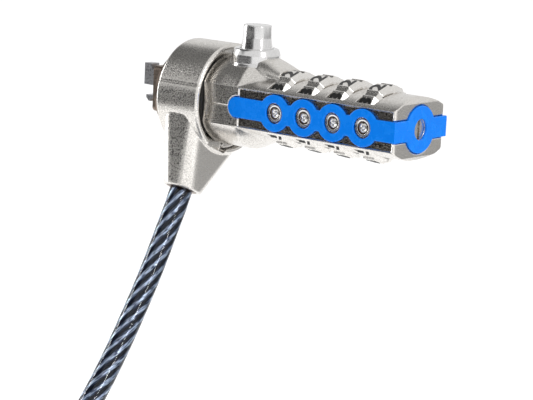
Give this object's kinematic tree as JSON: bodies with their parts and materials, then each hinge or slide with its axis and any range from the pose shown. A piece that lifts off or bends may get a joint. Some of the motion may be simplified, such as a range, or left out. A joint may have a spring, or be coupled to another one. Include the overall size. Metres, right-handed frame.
{
  "type": "laptop cable lock",
  "caption": "Laptop cable lock: combination barrel with number wheels, push button, slot jaws, swivel collar and a coated steel cable ending in a crimped loop.",
  "frame": {"origin": "centre of the shoulder that rests against the device, on the barrel's axis", "axes": "+X along the barrel from the slot jaws to the nose, +Z towards the push button, the numbered wheels turn about X"},
  "size_m": [0.098, 0.1216, 0.1166],
  "materials": {
    "satin_nickel": "satin nickel plate over cast zinc, fine grain",
    "dark_panel": "dark grained side panel",
    "bright_chrome": "polished chrome plate",
    "wheel_nickel": "satin nickel with black recessed numbers",
    "number_black": "black filled numbers",
    "trim_blue": "satin blue moulded plastic",
    "hard_steel": "hardened grey steel",
    "dark_steel": "dark oxidised steel",
    "inner_brass": "machined brass",
    "spring_steel": "bright spring wire",
    "black_washer": "black nylon",
    "cable_jacket": "smoky blue clear jacket over twisted steel strands",
    "cable_strand": "twisted steel strands",
    "crimp_metal": "pressed aluminium ferrule",
    "tie_black": "black nylon tie"
  },
  "bodies": {
    "barrel": {"upper_housing": "satin_nickel", "lower_housing": "satin_nickel", "trim_band": "trim_blue", "detent_plugs": "bright_chrome", "detent_balls": "bright_chrome", "housing_pins": "hard_steel", "swivel_barrel": "hard_steel", "slot_snout": "dark_steel", "fixed_jaw": "hard_steel", "jaw_pin": "spring_steel", "button_guide": "bright_chrome", "button_spring": "spring_steel", "draw_spring": "spring_steel", "wear_washer": "black_washer"},
    "number_1": {"wheel_1": "wheel_nickel"},
    "number_2": {"wheel_2": "wheel_nickel"},
    "number_3": {"wheel_3": "wheel_nickel"},
    "number_4": {"wheel_4": "wheel_nickel"},
    "clutch_1": {"clutch_ring_1": "inner_brass"},
    "clutch_2": {"clutch_ring_2": "inner_brass"},
    "clutch_3": {"clutch_ring_3": "inner_brass"},
    "clutch_4": {"clutch_ring_4": "inner_brass"},
    "push_button": {"button": "bright_chrome"},
    "bar": {"draw_bar": "hard_steel"},
    "jaw": {"swinging_jaw": "hard_steel"},
    "screw": {"code_screw": "satin_nickel"},
    "swivel": {"swivel_collar": "satin_nickel", "cable_ferrule": "dark_steel", "cable_drop": "cable_jacket", "cable_coil": "cable_jacket", "coil_tie": "tie_black", "cable_loop": "cable_jacket", "loop_ferrule": "crimp_metal"}
  },
  "joints": [
    {"name": "number_1_turn", "type": "hinge", "parent": "barrel", "child": "number_1", "pos_m": [0.0429, 0, 0], "axis": [1, 0, 0], "continuous": true},
    {"name": "number_2_turn", "type": "hinge", "parent": "barrel", "child": "number_2", "pos_m": [0.0513, 0, 0], "axis": [1, 0, 0], "continuous": true},
    {"name": "number_3_turn", "type": "hinge", "parent": "barrel", "child": "number_3", "pos_m": [0.0597, 0, 0], "axis": [1, 0, 0], "continuous": true},
    {"name": "number_4_turn", "type": "hinge", "parent": "barrel", "child": "number_4", "pos_m": [0.0681, 0, 0], "axis": [1, 0, 0], "continuous": true},
    {"name": "code_screw_turn", "type": "hinge", "parent": "barrel", "child": "screw", "pos_m": [0.0762, 0, 0], "axis": [1, 0, 0], "range_deg": [0, 90]},
    {"name": "clutch_1_shift", "type": "slide", "parent": "number_1", "child": "clutch_1", "axis": [1, 0, 0], "range_m": [0, 0.001]},
    {"name": "clutch_2_shift", "type": "slide", "parent": "number_2", "child": "clutch_2", "axis": [1, 0, 0], "range_m": [0, 0.001]},
    {"name": "clutch_3_shift", "type": "slide", "parent": "number_3", "child": "clutch_3", "axis": [1, 0, 0], "range_m": [0, 0.001]},
    {"name": "clutch_4_shift", "type": "slide", "parent": "number_4", "child": "clutch_4", "axis": [1, 0, 0], "range_m": [0, 0.001]},
    {"name": "button_press", "type": "slide", "parent": "barrel", "child": "push_button", "axis": [0, 0, 1], "range_m": [-0.003, 0], "stiffness_N_per_m": 800, "deforming": ["button_spring"]},
    {"name": "bar_slide", "type": "slide", "parent": "barrel", "child": "bar", "axis": [1, 0, 0], "range_m": [-0.0025, 0], "deforming": ["draw_spring"]},
    {"name": "jaw_swing", "type": "hinge", "parent": "barrel", "child": "jaw", "pos_m": [0.0084, 0, 0.0024], "axis": [0, 1, 0], "range_deg": [-10.3, 0]},
    {"name": "collar_turn", "type": "hinge", "parent": "barrel", "child": "swivel", "pos_m": [0.0165, 0, 0], "axis": [1, 0, 0], "continuous": true}
  ],
  "couplings": [
    {"joint": "clutch_2_shift", "follows": "clutch_1_shift", "ratio": 1},
    {"joint": "clutch_3_shift", "follows": "clutch_1_shift", "ratio": 1},
    {"joint": "clutch_4_shift", "follows": "clutch_1_shift", "ratio": 1},
    {"joint": "code_screw_turn", "follows": "clutch_1_shift", "rad_per_m": 1570.8},
    {"joint": "bar_slide", "follows": "button_press", "ratio": 0.83333},
    {"joint": "jaw_swing", "follows": "button_press", "rad_per_m": 59.923}
  ]
}
